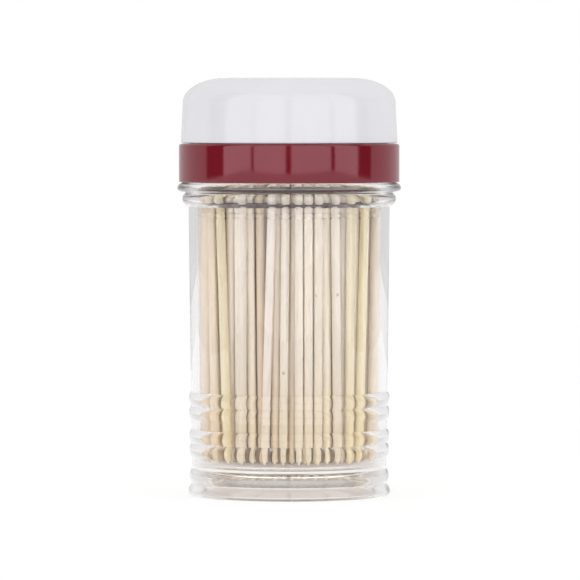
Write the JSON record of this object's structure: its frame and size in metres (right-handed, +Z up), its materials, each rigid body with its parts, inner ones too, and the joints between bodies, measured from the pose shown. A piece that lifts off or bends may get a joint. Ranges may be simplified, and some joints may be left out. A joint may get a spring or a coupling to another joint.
{
  "type": "toothpick dispenser",
  "caption": "Clear ribbed jar of wooden toothpicks with a red snap-fit collar and a white twist cap that lets one pick out through a port",
  "frame": {"origin": "on the jar's axis, at the level of the surface that the foot stands on", "axes": "+Z up along the jar's axis, -Y towards the front, +X to the right seen from the front"},
  "size_m": [0.0542, 0.0542, 0.1012],
  "materials": {
    "clear_plastic": "clear, glossy",
    "red_plastic": "glossy",
    "white_plastic": "glossy",
    "pick_wood": "smooth, unvarnished"
  },
  "bodies": {
    "jar": {"jar": "clear_plastic"},
    "collar": {"collar": "red_plastic"},
    "cap": {"cap": "white_plastic"},
    "toothpicks": {"toothpick_01": "pick_wood", "toothpick_02": "pick_wood", "toothpick_03": "pick_wood", "toothpick_04": "pick_wood", "toothpick_05": "pick_wood", "toothpick_06": "pick_wood", "toothpick_07": "pick_wood", "toothpick_08": "pick_wood", "toothpick_09": "pick_wood", "toothpick_10": "pick_wood", "toothpick_11": "pick_wood", "toothpick_12": "pick_wood", "toothpick_13": "pick_wood", "toothpick_14": "pick_wood", "toothpick_15": "pick_wood", "toothpick_16": "pick_wood", "toothpick_17": "pick_wood", "toothpick_18": "pick_wood", "toothpick_19": "pick_wood", "toothpick_20": "pick_wood", "toothpick_21": "pick_wood", "toothpick_22": "pick_wood", "toothpick_23": "pick_wood", "toothpick_24": "pick_wood", "toothpick_25": "pick_wood", "toothpick_26": "pick_wood", "toothpick_27": "pick_wood", "toothpick_28": "pick_wood", "toothpick_29": "pick_wood", "toothpick_30": "pick_wood", "toothpick_31": "pick_wood", "toothpick_32": "pick_wood", "toothpick_33": "pick_wood", "toothpick_34": "pick_wood", "toothpick_35": "pick_wood", "toothpick_36": "pick_wood", "toothpick_37": "pick_wood", "toothpick_38": "pick_wood", "toothpick_39": "pick_wood", "toothpick_40": "pick_wood", "toothpick_41": "pick_wood", "toothpicks_ring_2": "pick_wood", "toothpicks_ring_3": "pick_wood", "toothpicks_ring_4": "pick_wood"}
  },
  "joints": [
    {"name": "lid_lift", "type": "slide", "parent": "jar", "child": "collar", "axis": [0, 0, 1], "range_m": [0, 0.03]},
    {"name": "cap_turn", "type": "hinge", "parent": "collar", "child": "cap", "pos_m": [0, 0, 0.0855], "axis": [0, 0, 1], "range_deg": [0, 90]},
    {"name": "picks_slide", "type": "slide", "parent": "jar", "child": "toothpicks", "axis": [0, 0, 1], "range_m": [0, 0.0073]}
  ]
}
